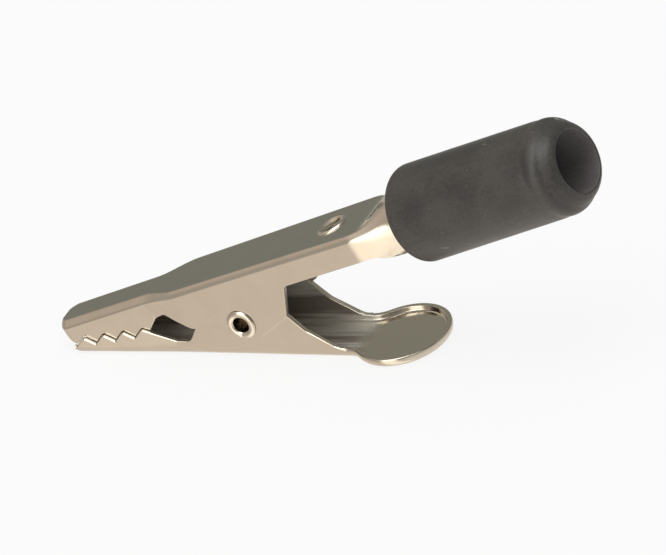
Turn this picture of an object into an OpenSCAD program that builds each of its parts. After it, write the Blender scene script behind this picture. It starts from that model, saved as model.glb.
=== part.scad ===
/* [Sheet metal] */
// Thickness of the nickel-plated steel strip that both jaws are pressed from
sheet_t = 0.5; // [0.4:0.05:0.6]
// Outside radius of the folds along the upper jaw's roof
fold_r = 0.65; // [0.6:0.05:0.9]

/* [Upper jaw] */
// Slope of the upper jaw's roof above the flat base of the lower jaw, in degrees
roof_tilt = 17.25; // [16:0.25:20]
// Height of the roof's outer face above the pivot, square to the roof
roof_h = 5.25; // [5:0.05:5.6]
// Distance from the pivot to the front of the upper nose, along the roof
nose_reach = 21; // [19:0.1:22]
// Outside width of the upper nose at its front
nose_tip_w = 3.8; // [3.4:0.1:4]
// Outside width of the upper nose where it starts to widen
nose_root_w = 4.1; // [3.8:0.05:4.1]
// Length over which the nose closes in to its rounded front
nose_round = 0.9; // [0.5:0.1:1.5]
// Distance from the pivot forward to the wide end of the shoulder
shoulder_x = 5.6; // [5.4:0.1:7]
// Length of the shoulder, in which the roof widens from nose to body
shoulder_len = 4.4; // [2:0.1:4.6]
// Outside width of the upper jaw at the pivot
body_w = 6.9; // [6.7:0.05:7.2]
// Widening of each cheek towards the tail, mm for each mm of length
cheek_flare = 0.025; // [0.015:0.005:0.03]
// Depth of the tail's cheeks below the roof's outer face
tail_depth = 2.85; // [2.5:0.05:3.2]
// Distance from the pivot back to the start of the neck
neck_x = 17; // [16:0.1:18]
// Distance from the pivot back to where the roof starts to rise to the barrel
rise_x = 18.1; // [17:0.1:19]
// Distance behind the neck's start at which the lower edges of its cheeks turn down
neck_fall = 1.9; // [1:0.1:2.4]
// Height of the ear's rear corner above the lowest point of the ear
ear_rear = 5.4; // [5:0.1:6]
// Radius of the ear's lobe round the pivot
ear_r = 1.9; // [1.8:0.05:2.1]
// Distance from the pivot forward to the lower rear corner of the throat
throat_rear = 5.8; // [4.9:0.1:6.2]
// Depth of the throat's top below the roof's outer face
throat_top = 2.05; // [1.2:0.05:2.3]

/* [Barrel and sleeve] */
// Outside diameter of the rolled barrel
barrel_d = 6.2; // [5.8:0.1:6.6]
// Height of the barrel's axis above the pivot, square to the roof
barrel_h = 3.7; // [3.4:0.05:3.9]
// Length of the barrel inside the sleeve
barrel_len = 8.2; // [7:0.1:12]
// Width of the seam under the barrel
seam_w = 0.4; // [0.2:0.1:0.8]
// Distance from the pivot back to the sleeve's front face
sleeve_x = 22.9; // [22:0.1:24]
// Length of the insulating sleeve
sleeve_len = 20.05; // [18:0.05:24]
// Outside diameter of the sleeve at its front
sleeve_front_d = 9.6; // [9.2:0.1:10.4]
// Outside diameter of the sleeve behind its rear lip
sleeve_rear_d = 9.55; // [9:0.05:10]
// Diameter of the open mouth at the sleeve's rear, where the lead goes in
mouth_d = 5.7; // [5.3:0.1:5.8]
// Radius of the mouth's inner edge
mouth_edge_r = 0.5; // [0.3:0.05:0.6]
// Radius of the rounded lip round the mouth
lip_r = 1.4; // [1:0.05:1.4]
// Radius of the sleeve's front edge
front_edge_r = 1; // [0.4:0.1:1.2]

/* [Lower jaw] */
// Depth of the flat base below the pivot
base_drop = 4.05; // [3.8:0.05:4.3]
// Distance from the pivot to the front of the lower nose, along the base
lower_reach = 20.1; // [19:0.1:21.5]
// Outside width of the lower nose
lower_nose_w = 5.3; // [5.25:0.05:5.4]
// Radius of the dished thumb pad
pad_r = 4.85; // [4.2:0.05:5]
// Distance from the pivot back to the middle of the thumb pad
pad_x = 15.05; // [14.5:0.05:16.5]
// Height of the thumb pad's rim above the base
pad_rim_h = 1.05; // [0.9:0.05:1.4]
// Outside radius of the lower jaw's folds and of the thumb pad's rim at its foot
foot_r = 0.75; // [0.65:0.05:0.95]
// Radius of the waist where the cheeks run out into the thumb pad
waist_r = 2.5; // [1.5:0.1:3.5]
// Radius of the lower jaw's lobe round the pivot
lobe_r = 2.5; // [2.2:0.1:3]
// Distance from the pivot forward to the front of the throat's floor
throat_front = 8.5; // [8:0.1:8.8]
// Height of the throat's floor above the thumb pad's rim
throat_rise = 0.5; // [0.3:0.05:0.7]
// Distance from the pivot back to where the cheek's slope eases off
cheek_bend = 6.5; // [6:0.1:7]
// Distance from the pivot back to the foot of the cheek's slope
cheek_end = 9.4; // [8.5:0.1:10]

/* [Bite] */
// Slope of the row of teeth above the base, in degrees
bite_tilt = 8.5; // [8:0.25:11]
// Distance between teeth
tooth_pitch = 2.3; // [2:0.05:2.6]
// Depth of the teeth
tooth_h = 0.75; // [0.5:0.05:0.9]
// Share of the pitch that the rear flank of a lower tooth takes
tooth_lean = 0.42; // [0.35:0.01:0.6]
// Length of the flat on the crest of each lower tooth
tooth_flat = 0.3; // [0.1:0.05:0.4]
// Distance from the pivot to the rearmost lower tooth, along the row
last_tooth = 11.9; // [11.5:0.05:12.2]
// Height of the row's middle above the pivot, square to the row
bite_rise = 0.05; // [0:0.05:0.4]
// Gap between the closed rows of teeth
bite_gap = 0.08; // [0.05:0.01:0.15]

/* [Pivot, spring and screw] */
// Diameter of the hollow rivet's shank
rivet_d = 2.4; // [2.2:0.05:2.6]
// Diameter of the hole through the rivet
rivet_eye_d = 1.66; // [1.4:0.02:1.8]
// Radius of the rivet's rolled lip
rivet_lip_r = 0.35; // [0.3:0.01:0.4]
// Running clearance of the lower jaw round the rivet, on the radius
pivot_clear = 0.05; // [0.03:0.01:0.08]
// Gap between each ear of the upper jaw and the lower jaw inside it
ear_gap = 0.1; // [0.07:0.01:0.15]
// Diameter of the spring's wire
wire_d = 0.6; // [0.5:0.05:0.7]
// Mean diameter of the spring's coil
coil_d = 3.5; // [3.4:0.05:3.8]
// Whole turns of the spring's coil, before its legs
coil_turns = 3; // [2:1:4]
// Distance from the pivot to the end of the spring's upper leg, along the roof
upper_leg = 9.5; // [8:0.1:11]
// Distance from the pivot to the end of the spring's lower leg, along the base
lower_leg = 8.5; // [7:0.1:10]
// Distance from the pivot back to the terminal screw, along the roof
screw_x = 13.4; // [12.5:0.1:14.5]
// Diameter of the terminal screw's countersunk head
screw_head_d = 2.7; // [2.4:0.05:2.9]
// Diameter of the terminal screw's shank
screw_d = 1.6; // [1.4:0.1:1.8]
// Height of the terminal screw's foot above the lower edge of the tail
screw_foot = 0.2; // [0.1:0.1:1]
// Width of the slot in the terminal screw's head
slot_w = 0.4; // [0.3:0.05:0.5]
// Depth of the slot in the terminal screw's head
slot_d = 0.25; // [0.15:0.05:0.35]
// Angle of the slot from the length of the roof, in degrees
slot_turn = 75; // [0:5:180]
// Distance from the pivot back to the bend of the wire tongue
tongue_x = 18.75; // [18.3:0.05:19.5]
// Width of the wire tongue pressed down out of the neck
tongue_w = 2.8; // [2.2:0.1:3.2]
// Gap between the wire tongue's end and the barrel
tongue_end_gap = 0.1; // [0.05:0.05:0.3]
// Slope of the wire tongue below the roof, in degrees
tongue_tilt = 16; // [10:1:18]

/* [Hidden] */
$fn = 64;
big = 60;
seat = 0.02;
eps = 0.002;
nickel = "silver";
plastic = "dimgray";

roof_in = roof_h - sheet_t;
barrel_r = barrel_d / 2;
tail_z = roof_h - tail_depth;
nose_root_x = shoulder_x + shoulder_len;
tail_front = ear_rear + 1.9;
corner_steps = 8;
upper_stations = concat([for (k = [0:4]) -nose_reach + nose_round * k / 4],
    [for (k = [0:9]) -nose_root_x + shoulder_len * k / 9],
    [tail_front], [for (k = [0:9]) neck_x + (sleeve_x - neck_x) * k / 9], [sleeve_x + seat]);
floor_z = sheet_t - base_drop;
rim_z = pad_rim_h - base_drop;
rivet_r = rivet_d / 2;
ear_face = body_w / 2 + cheek_flare * ear_r;
pivot_hole_r = rivet_r + pivot_clear;
lower_body_w = body_w - 2 * sheet_t - 2 * ear_gap;
lower_flare = cheek_flare * cos(roof_tilt);
nose_end = (lower_body_w - lower_nose_w) / 2 / lower_flare;
waist_y = lower_half(pad_x - pad_r) + waist_r;
waist_x = pad_x - sqrt(pow(pad_r + waist_r, 2) - pow(waist_y, 2));
sleeve_bore_r = barrel_r + ear_gap / 2;
lip_x = sleeve_x + sleeve_len;
shoulder_stop = sleeve_x + barrel_len + 0.2;

// Half of the upper jaw's outside width at a distance behind the pivot, along the roof
function upper_half(x) = let(body = body_w / 2 + cheek_flare * x,
    nose = lerp(x, -nose_reach, -nose_root_x, nose_tip_w / 2, nose_root_w / 2),
    front = max(0, 1 - (x + nose_reach) / nose_round))
    nose + (body - nose) * smooth((x + nose_root_x) / shoulder_len) - nose_tip_w / 6 * pow(front, 2);
// Half of the lower jaw's outside width at a distance behind the pivot, along the base
function lower_half(x) = max(lower_nose_w / 2, lower_body_w / 2 + lower_flare * x);
function lerp(x, x0, x1, y0, y1) = y0 + (y1 - y0) * (x - x0) / (x1 - x0);
function unit(v) = v / norm(v);
// Ease from 0 to 1, level at both ends
function smooth(t) = let(c = max(0, min(1, t))) c * c * (3 - 2 * c);
function turned(p, a) = [p[0] * cos(a) - p[1] * sin(a), p[0] * sin(a) + p[1] * cos(a)];

// Outline with its corners rounded: each corner is [x, z, radius]
function rounded(corners) = let(n = len(corners))
    [for (i = [0:n - 1]) each corner_arc(corners[(i + n - 1) % n], corners[i], corners[(i + 1) % n])];
function corner_arc(a, b, c, steps = 8) = let(at = [b[0], b[1]], r = b[2]) r == 0 ? [at]
    : let(u = unit([a[0], a[1]] - at), v = unit([c[0], c[1]] - at), half = acos(u * v) / 2,
          middle = at + unit(u + v) * r / sin(half), from = at + u * r / tan(half) - middle,
          turn = sign(u[0] * v[1] - u[1] * v[0]) * (2 * half - 180))
      [for (k = [0:steps]) middle + turned(from, turn * k / steps)];

// Section of the upper jaw square to its roof, a rounded box that turns round along the neck
function upper_section(x, skin) = let(
    w = smooth((x - neck_x) / (sleeve_x - neck_x)),
    fall = max(0, min(1, (x - tail_front) / (neck_x - tail_front))),
    rise = smooth((x - rise_x) / (sleeve_x - rise_x)),
    half = upper_half(x) * (1 - w) + barrel_r * w - skin - seat * w,
    top = roof_h * (1 - rise) + (barrel_h + barrel_r) * rise - skin - seat * w,
    bottom = (barrel_h - barrel_r) * fall - 2 * barrel_r * (1 - fall) + skin + seat * w,
    r = fold_r * (1 - w) + barrel_r * w - skin - seat * (1 + w))
    [for (q = [0:3], k = [0:corner_steps]) let(a = 90 * (q + k / corner_steps),
        y = q == 0 || q == 3 ? half - r : r - half, z = q < 2 ? top - r : bottom + r)
        [x, y + r * cos(a), z + r * sin(a)]];

// Zigzag of the teeth from in front of the nose back to the last lower tooth, in a jaw's own frame
function tooth_row(jaw_tilt, lift) = let(count = ceil((nose_reach + tooth_pitch - last_tooth) / tooth_pitch))
    [for (k = [count:-1:0], p = [-1, 0, 1]) if (k > 0 || p < 1)
        bite_point(-last_tooth - tooth_pitch * k + (p < 0 ? -tooth_flat : p * tooth_lean * tooth_pitch),
                   bite_rise + tooth_h * (0.5 - max(0, p)) + lift, jaw_tilt)];
function bite_point(u, w, jaw_tilt) = turned([u, w], bite_tilt - jaw_tilt);

// Points of the spring's wire: lower leg, coil round the pivot, upper leg, as [x, y, z]
coil_r = coil_d / 2;
lower_leg_end = [lower_leg, floor_z + wire_d / 2 + seat];
upper_leg_end = turned([upper_leg, roof_in - wire_d / 2 - seat], roof_tilt);
lower_tangent = atan2(lower_leg_end[1], lower_leg_end[0]) - acos(coil_r / norm(lower_leg_end));
upper_tangent = atan2(upper_leg_end[1], upper_leg_end[0]) + acos(coil_r / norm(upper_leg_end));
coil_sweep = 360 * (coil_turns + 1) + lower_tangent - upper_tangent;
coil_pitch = wire_d * 1.04;
coil_w = coil_pitch * coil_sweep / 360;
coil_steps = 26 * (coil_turns + 1);
spring_path = concat([[lower_leg_end[0], -coil_w / 2, lower_leg_end[1]]],
    [for (k = [0:coil_steps]) let(a = lower_tangent - coil_sweep * k / coil_steps)
        [coil_r * cos(a), -coil_w / 2 + coil_w * k / coil_steps, coil_r * sin(a)]],
    [[upper_leg_end[0], coil_w / 2, upper_leg_end[1]]]);
wire_sides = 10;

// Everything that belongs to the upper jaw is drawn level and then tilted about the pivot
module on_roof() {
    rotate([0, -roof_tilt, 0]) children();
}

// Flat outline in X and Z made into a slab across the jaw
module across(width) {
    rotate([90, 0, 0]) translate([0, 0, -width / 2]) linear_extrude(width) children();
}

// Closed skin through a row of sections, each a ring of as many points
module loft(rings) {
    n = len(rings[0]);
    last = len(rings) - 1;
    polyhedron([for (ring = rings) each ring], concat(
        [[for (k = [0:n - 1]) k]],
        [for (i = [0:last - 1], k = [0:n - 1]) let(a = i * n + k, b = i * n + (k + 1) % n) each
            [[a, a + n, b], [b, a + n, b + n]]],
        [[for (k = [n - 1:-1:0]) last * n + k]]));
}

// Side view of the upper jaw: nose, throat, ear and tail
module upper_side() {
    difference() {
        polygon(rounded([
            [-nose_reach, roof_h + barrel_r, 0],
            [lip_x, roof_h + barrel_r, 0],
            [lip_x, -barrel_r, 0],
            [sleeve_x - 0.8, -barrel_r, 0],
            [sleeve_x - 0.8, barrel_h - barrel_r - eps, 0],
            [neck_x + neck_fall, tail_z, 1.5],
            [tail_front, tail_z, 0.5],
            [ear_rear, -0.7, 0.4],
            [ear_r * 0.65, -ear_r, 1.5],
            [-ear_r * 0.8, -ear_r * 0.85, 1.2],
            [-ear_r * 1.2, 0, 0.6],
            [-throat_rear, 1.15, 0.4],
            [-throat_rear - 2.4, roof_h - throat_top, 0.7],
            [2.2 - last_tooth, roof_h - throat_top - 0.3, 1],
            [0.8 - last_tooth, roof_h - throat_top - 1.3, 0],
            [0.8 - last_tooth, -ear_r, 0],
            [-nose_reach, -ear_r, 0]]));
        polygon(concat(tooth_row(roof_tilt, bite_gap),
            [bite_point(1.3 - last_tooth, bite_rise - tooth_h * 0.2, roof_tilt),
             [1.3 - last_tooth, -big / 8], [-nose_reach - 3, -big / 8]]));
    }
}

// Upper jaw's channel, neck and barrel as one body, inside the skin by a given depth
module upper_body(skin) {
    front = skin > 0 ? [for (p = upper_section(-nose_reach, skin)) p - [1, 0, 0]] : [];
    loft(concat(skin > 0 ? [front] : [], [for (x = upper_stations) upper_section(x, skin)]));
    translate([sleeve_x, 0, barrel_h]) rotate([0, 90, 0])
        cylinder(r = barrel_r - skin, h = barrel_len + skin);
}

// Place of the countersunk dimple in the roof for the terminal screw
module dimple(grow, top) {
    sink = screw_head_d / 2 - screw_d / 2;
    translate([screw_x, 0, roof_h - sink - grow * 0.8])
        cylinder(r1 = screw_d / 2 + grow, r2 = screw_head_d / 2 + grow + top, h = sink + grow * 0.8 + top);
}

// Steel tongue pressed down out of the neck towards the barrel
module tongue() {
    rise = (barrel_h + barrel_r - roof_h) * smooth((tongue_x - rise_x) / (sleeve_x - rise_x));
    translate([tongue_x - 0.2, -tongue_w / 2, roof_h + rise]) rotate([0, tongue_tilt, 0])
        translate([0, 0, -sheet_t - seat]) cube([sleeve_x - tongue_x - tongue_end_gap, tongue_w, sheet_t]);
}

module upper_jaw() color(nickel) on_roof() {
    difference() {
        intersection() {
            union() {
                upper_body(0);
                dimple(sheet_t, 0);
            }
            across(big) upper_side();
        }
        difference() {
            upper_body(sheet_t);
            dimple(sheet_t, 0);
        }
        dimple(0, 0.1);
        translate([screw_x, 0, 0]) cylinder(r = screw_d / 2 + seat, h = big);
        translate([sleeve_x - 1, -seam_w / 2, barrel_h - big / 4]) cube([barrel_len + 2, seam_w, big / 4]);
        translate([tongue_x, -tongue_w / 2 - tongue_end_gap, barrel_h])
            cube([sleeve_x - tongue_x, tongue_w + 2 * tongue_end_gap, big / 8]);
        rotate([90, 0, 0]) cylinder(r = rivet_r + seat, h = big, center = true);
    }
    tongue();
}

// Side view of the lower jaw: toothed nose, throat, lobe and lever
module lower_side() {
    intersection() {
        polygon(concat(tooth_row(0, 0), rounded([
            [-last_tooth + 0.1, bite_rise + tooth_h / 2 - last_tooth * sin(bite_tilt), 0],
            [-throat_front, rim_z + throat_rise, 0.6],
            [1.6 - throat_front, rim_z + throat_rise, 1],
            [-lobe_r - 1.1, lobe_r - 0.3, 1.2],
            [-lobe_r * 0.5, lobe_r + 0.1, 1],
            [lobe_r * 0.75, lobe_r, 1.5],
            [(lobe_r + cheek_bend) / 2, lobe_r * 0.5, 1.5],
            [cheek_bend, -lobe_r * 0.4, 1.5],
            [cheek_end, rim_z + 0.15, 1.5],
            [cheek_end + 1.5, rim_z, 1.5],
            [pad_x, rim_z, 0],
            [pad_x, -base_drop - 1, 0],
            [-nose_reach - 3, -base_drop - 1, 0]])));
        polygon(rounded([
            [-lower_reach, -base_drop, 1],
            [-lower_reach, base_drop, 0],
            [big, base_drop, 0],
            [big, -base_drop, 0]]));
    }
}

// Thin slice of the lower channel, rounded at the bottom, inside its skin by a given depth
module lower_slice(x, skin) {
    half = lower_half(x) - skin;
    r = foot_r - skin;
    translate([x, 0, -base_drop + skin]) rotate([90, 0, 90]) linear_extrude(eps) {
        translate([-half, r]) square([2 * half, 2 * base_drop]);
        translate([r - half, 0]) square([2 * (half - r), 2 * r]);
        for (side = [-1, 1]) translate([side * (half - r), r]) circle(r, $fn = 32);
    }
}

module lower_channel(skin) {
    reach = skin > 0 ? 1 : 0;
    hull() {
        lower_slice(-lower_reach - reach, skin);
        lower_slice(-nose_end, skin);
    }
    hull() {
        lower_slice(-nose_end, skin);
        lower_slice(waist_x + reach, skin);
    }
}

// Cross-section of a rim: its outer face at zero, its floor towards plus X
module rim_section(reach) {
    inner_r = foot_r - sheet_t;
    difference() {
        union() {
            polygon([[0, foot_r - base_drop], [reach, foot_r - base_drop], [reach, rim_z], [0, rim_z]]);
            polygon([[foot_r, -base_drop], [reach, -base_drop], [reach, rim_z], [foot_r, rim_z]]);
            intersection() {
                translate([foot_r, foot_r - base_drop]) circle(foot_r);
                translate([0, -base_drop]) square([reach, pad_rim_h]);
            }
        }
        translate([sheet_t, floor_z + inner_r]) square([reach, pad_rim_h]);
        translate([foot_r, floor_z]) square([reach, pad_rim_h]);
        translate([foot_r, floor_z + inner_r]) circle(inner_r);
    }
}

// Dished pad for the thumb: a round pan, open in front between its two waists
module thumb_pad() {
    difference() {
        translate([pad_x, 0, 0]) rotate_extrude() intersection() {
            translate([pad_r, 0]) mirror([1, 0]) rim_section(pad_r + 1);
            translate([0, -base_drop]) square([pad_r, base_drop]);
        }
        translate([0, 0, floor_z]) linear_extrude(big)
            polygon([[pad_x, 0], [waist_x, waist_y], [waist_x - 1, waist_y],
                     [waist_x - 1, -waist_y], [waist_x, -waist_y]]);
    }
}

// Waist on one side, where the rim sweeps in from the pad to the cheek
module waist() {
    intersection() {
        translate([waist_x, waist_y, 0]) rotate_extrude() translate([waist_r, 0]) rim_section(waist_y);
        linear_extrude(big, center = true)
            polygon([[waist_x, waist_y], [waist_x, -sheet_t], [pad_x, -sheet_t], [pad_x, 0]]);
    }
}

module lower_jaw() color(nickel) {
    difference() {
        intersection() {
            lower_channel(0);
            across(big) lower_side();
        }
        lower_channel(sheet_t);
        rotate([90, 0, 0]) cylinder(r = pivot_hole_r, h = big, center = true);
    }
    waist();
    mirror([0, 1, 0]) waist();
    thumb_pad();
}

// Hollow rivet with a rolled lip at each end
module pivot_rivet() color(nickel) rotate([90, 0, 0]) rotate_extrude() {
    translate([rivet_eye_d / 2, -ear_face - seat])
        square([rivet_r - rivet_eye_d / 2, 2 * (ear_face + seat)]);
    for (end = [0, 1]) mirror([0, end]) translate([0, ear_face + seat]) intersection() {
        translate([rivet_eye_d / 2 + rivet_lip_r, 0]) circle(rivet_lip_r);
        square([big, big]);
    }
}

// Closed coil on the rivet with one leg under the roof and one on the lower jaw's floor
module torsion_spring() color(nickel) {
    last = len(spring_path) - 1;
    rings = [for (i = [0:last]) let(
            ahead = unit(spring_path[min(i + 1, last)] - spring_path[max(i - 1, 0)]),
            side = unit(cross(ahead, [0, 1, 0])), up = cross(side, ahead))
        for (k = [0:wire_sides - 1]) let(a = 360 * k / wire_sides)
            spring_path[i] + wire_d / 2 * (cos(a) * side + sin(a) * up)];
    polyhedron(rings, concat(
        [[for (k = [wire_sides - 1:-1:0]) k]],
        [for (i = [0:last - 1], k = [0:wire_sides - 1]) let(
            a = i * wire_sides + k, b = i * wire_sides + (k + 1) % wire_sides)
            [a, b, b + wire_sides, a + wire_sides]],
        [[for (k = [0:wire_sides - 1]) last * wire_sides + k]]));
}

// Slotted countersunk screw that clamps the lead under the roof
module terminal_screw() color(nickel) on_roof() translate([screw_x, 0, 0]) difference() {
    union() {
        sink = screw_head_d / 2 - screw_d / 2;
        translate([0, 0, roof_h - sink])
            cylinder(r1 = screw_d / 2 - seat, r2 = screw_head_d / 2 - seat, h = sink);
        translate([0, 0, tail_z + screw_foot])
            cylinder(r = screw_d / 2 - seat, h = roof_h - sink / 2 - tail_z - screw_foot);
    }
    rotate([0, 0, slot_turn]) translate([-big / 2, -slot_w / 2, roof_h - slot_d]) cube([big, slot_w, 1]);
}

// Black plastic sleeve: grips the barrel in front, takes the lead through its mouth behind
module insulating_sleeve() color(plastic) on_roof() translate([0, 0, barrel_h]) rotate([90, 0, 90])
    rotate_extrude() polygon(rounded([
        [sleeve_bore_r, sleeve_x, 0],
        [sleeve_front_d / 2, sleeve_x, front_edge_r],
        [sleeve_rear_d / 2, lip_x, lip_r],
        [mouth_d / 2, lip_x, mouth_edge_r],
        [mouth_d / 2, shoulder_stop, 0],
        [sleeve_bore_r, shoulder_stop, 0]]));

upper_jaw();
lower_jaw();
pivot_rivet();
torsion_spring();
terminal_screw();
insulating_sleeve();
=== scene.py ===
"""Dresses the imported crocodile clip: sprung jaws of plated sheet, a rivet, a screw and a black sleeve.

Every length in the classes is in millimetres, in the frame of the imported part: the origin on the rivet's
axis, +X from the nose to the tail, +Y across the clip, +Z up from the flat base. Angles are in degrees where
nothing else is said. Meshes are made in metres.
"""

from __future__ import annotations

import logging
import math
from dataclasses import dataclass, field
from enum import Enum

import bmesh
import bpy
from mathutils import Matrix, Vector


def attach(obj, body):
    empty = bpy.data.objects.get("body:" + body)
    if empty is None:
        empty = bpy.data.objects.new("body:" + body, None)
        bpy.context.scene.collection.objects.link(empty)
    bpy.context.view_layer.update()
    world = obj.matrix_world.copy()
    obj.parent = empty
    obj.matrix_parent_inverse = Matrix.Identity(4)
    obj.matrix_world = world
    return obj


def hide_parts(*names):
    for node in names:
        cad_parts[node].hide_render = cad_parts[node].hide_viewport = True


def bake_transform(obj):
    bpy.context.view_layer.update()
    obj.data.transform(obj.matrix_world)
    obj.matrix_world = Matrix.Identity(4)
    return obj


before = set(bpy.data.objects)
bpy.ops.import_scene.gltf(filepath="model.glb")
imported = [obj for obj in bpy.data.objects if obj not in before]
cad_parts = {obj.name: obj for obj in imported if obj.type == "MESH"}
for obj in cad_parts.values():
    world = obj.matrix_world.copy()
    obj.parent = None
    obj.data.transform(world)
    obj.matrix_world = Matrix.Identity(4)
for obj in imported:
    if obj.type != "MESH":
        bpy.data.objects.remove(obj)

LOG = logging.getLogger("crocodile_clip")
MM = 0.001
# Angle of the upper jaw's roof above the table, in degrees
ROOF_TILT = 17.25
# Turn that lays a pattern's X axis along the roof, in degrees
ALONG_ROOF = (0.0, -ROOF_TILT, 0.0)
# Points of a made mesh that are nearer than this are one point
SAME_POINT = 0.0005 * MM

Material = bpy.types.Material
Piece = bpy.types.Object
Socket = bpy.types.NodeSocket


class Body(Enum):
    """The two bodies that turn about the rivet."""

    LOWER = "lower_lever"
    UPPER = "upper_body"


class Slot(Enum):
    """The record's material slots."""

    SHEET = "nickel_sheet"
    RIVET = "nickel_rivet"
    WIRE = "spring_wire"
    SLEEVE = "black_sleeve"


def on_roof(along: float, across: float, up: float) -> Vector:
    """Turns a place on the upper jaw, level with its roof, into the part's frame.

    Args:
        along: Distance behind the pivot, along the roof.
        across: Distance towards +Y.
        up: Height above the pivot, square to the roof.

    Returns:
        The place in millimetres.
    """
    tilt = math.radians(ROOF_TILT)
    behind = along * math.cos(tilt) - up * math.sin(tilt)
    high = along * math.sin(tilt) + up * math.cos(tilt)
    return Vector((behind, across, high))


def roof_matrix() -> Matrix:
    """Returns the turn from the upper jaw's level frame to the part's frame."""
    return Matrix.Rotation(-math.radians(ROOF_TILT), 4, "Y")


def clamp(value: float) -> float:
    """Returns a value, held between 0 and 1."""
    return min(max(value, 0.0), 1.0)


def add_object(name: str, data: bpy.types.ID) -> Piece:
    """Adds a mesh, curve, lamp or camera to the scene as an object at the origin.

    Args:
        name: The object's name.
        data: What it shows.

    Returns:
        The object.
    """
    added = bpy.data.objects.new(name, data)
    bpy.context.scene.collection.objects.link(added)
    return added


class Nodes:
    """Places and links the nodes of one tree."""

    def __init__(self, tree: bpy.types.NodeTree) -> None:
        """Starts on an empty tree.

        Args:
            tree: The tree to fill.
        """
        self.tree = tree
        tree.nodes.clear()

    def add(self, kind: str, **settings: object) -> bpy.types.Node:
        """Adds a node.

        Args:
            kind: The node's type name.
            **settings: Attributes to set on it.

        Returns:
            The new node.
        """
        node = self.tree.nodes.new(kind)
        for name, value in settings.items():
            setattr(node, name, value)
        return node

    def link(self, source: Socket, target: Socket) -> None:
        """Links an output to an input."""
        self.tree.links.new(source, target)

    def feed(self, target: Socket, value: object) -> None:
        """Links an output to an input, or sets a number on the input.

        Args:
            target: The input.
            value: A socket or a number.
        """
        if isinstance(value, (int, float)):
            target.default_value = value
        else:
            self.link(value, target)

    def noise(self, vector: Socket, scale: float, detail: float, rough: float = 0.5) -> Socket:
        """Adds a noise texture on a vector.

        Args:
            vector: The coordinates it reads.
            scale: Cells for each metre of the coordinates.
            detail: Octaves.
            rough: Strength of the finer octaves.

        Returns:
            Its factor.
        """
        node = self.add("ShaderNodeTexNoise")
        for name, value in (("Scale", scale), ("Detail", detail), ("Roughness", rough)):
            node.inputs[name].default_value = value
        self.link(vector, node.inputs["Vector"])
        return node.outputs["Fac"]

    def stretch(self, vector: Socket, scale: tuple, turn: tuple = (0.0, 0.0, 0.0)) -> Socket:
        """Turns and scales coordinates.

        Args:
            vector: The coordinates.
            scale: Factor along each axis, after the turn.
            turn: Turn about each axis in degrees.

        Returns:
            The new coordinates.
        """
        node = self.add("ShaderNodeMapping", vector_type="TEXTURE")
        node.inputs["Rotation"].default_value = [math.radians(a) for a in turn]
        node.inputs["Scale"].default_value = [1 / s for s in scale]
        self.link(vector, node.inputs["Vector"])
        return node.outputs["Vector"]

    def ramp(self, factor: Socket, low: float, high: float, start: float = 0.0, end: float = 1.0) -> Socket:
        """Maps a factor smoothly to a range.

        Args:
            factor: The value read.
            low: Value at which the result is start.
            high: Value at which the result is end.
            start: First result.
            end: Last result.

        Returns:
            The mapped value.
        """
        node = self.add("ShaderNodeMapRange", interpolation_type="SMOOTHSTEP")
        for name, value in (("From Min", low), ("From Max", high), ("To Min", start), ("To Max", end)):
            node.inputs[name].default_value = value
        self.link(factor, node.inputs["Value"])
        return node.outputs["Result"]

    def math(self, operation: str, first: object, second: object = 0.0) -> Socket:
        """Combines two values, or works on the first alone.

        Args:
            operation: The operation's name.
            first: A socket or a number.
            second: A socket or a number.

        Returns:
            The result.
        """
        node = self.add("ShaderNodeMath", operation=operation)
        self.feed(node.inputs[0], first)
        self.feed(node.inputs[1], second)
        return node.outputs[0]

    def weigh(self, *parts: tuple) -> Socket:
        """Adds up values, each by its share.

        Args:
            *parts: Each as (socket, share).

        Returns:
            The sum.
        """
        shares = [self.math("MULTIPLY", value, share) for value, share in parts]
        total = shares[0]
        for share in shares[1:]:
            total = self.math("ADD", total, share)
        return total

    def mix(self, factor: Socket, first: object, second: object) -> Socket:
        """Mixes two colours.

        Args:
            factor: 0 for the first, 1 for the second.
            first: A socket, or red, green and blue.
            second: A socket, or red, green and blue.

        Returns:
            The colour.
        """
        node = self.add("ShaderNodeMix", data_type="RGBA")
        # The node has sockets for every kind of data, of which 6 and 7 in and 2 out are the colours
        self.link(factor, node.inputs[0])
        for socket, colour in ((node.inputs[6], first), (node.inputs[7], second)):
            if isinstance(colour, tuple):
                socket.default_value = (*colour, 1.0)
            else:
                self.link(colour, socket)
        return node.outputs[2]

    def mix_shaders(self, factor: Socket, first: Socket, second: Socket) -> Socket:
        """Mixes two shaders.

        Args:
            factor: 0 for the first, 1 for the second.
            first: A shader.
            second: A shader.

        Returns:
            The shader.
        """
        node = self.add("ShaderNodeMixShader")
        for socket, source in zip(node.inputs, (factor, first, second)):
            self.link(source, socket)
        return node.outputs["Shader"]

    def seen_or_mirrored(self) -> tuple:
        """Returns 1 for rays that the camera sees, straight or through glass, and 1 for mirrored rays."""
        path = self.add("ShaderNodeLightPath")
        seen = self.math("MAXIMUM", path.outputs["Is Camera Ray"], path.outputs["Is Transmission Ray"])
        return seen, path.outputs["Is Glossy Ray"]

    def dot(self, vector: Socket, axis: tuple) -> Socket:
        """Returns a vector's share along an axis.

        Args:
            vector: The vector.
            axis: The axis, of length 1.
        """
        node = self.add("ShaderNodeVectorMath", operation="DOT_PRODUCT")
        self.link(vector, node.inputs[0])
        node.inputs[1].default_value = axis
        return node.outputs["Value"]

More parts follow.
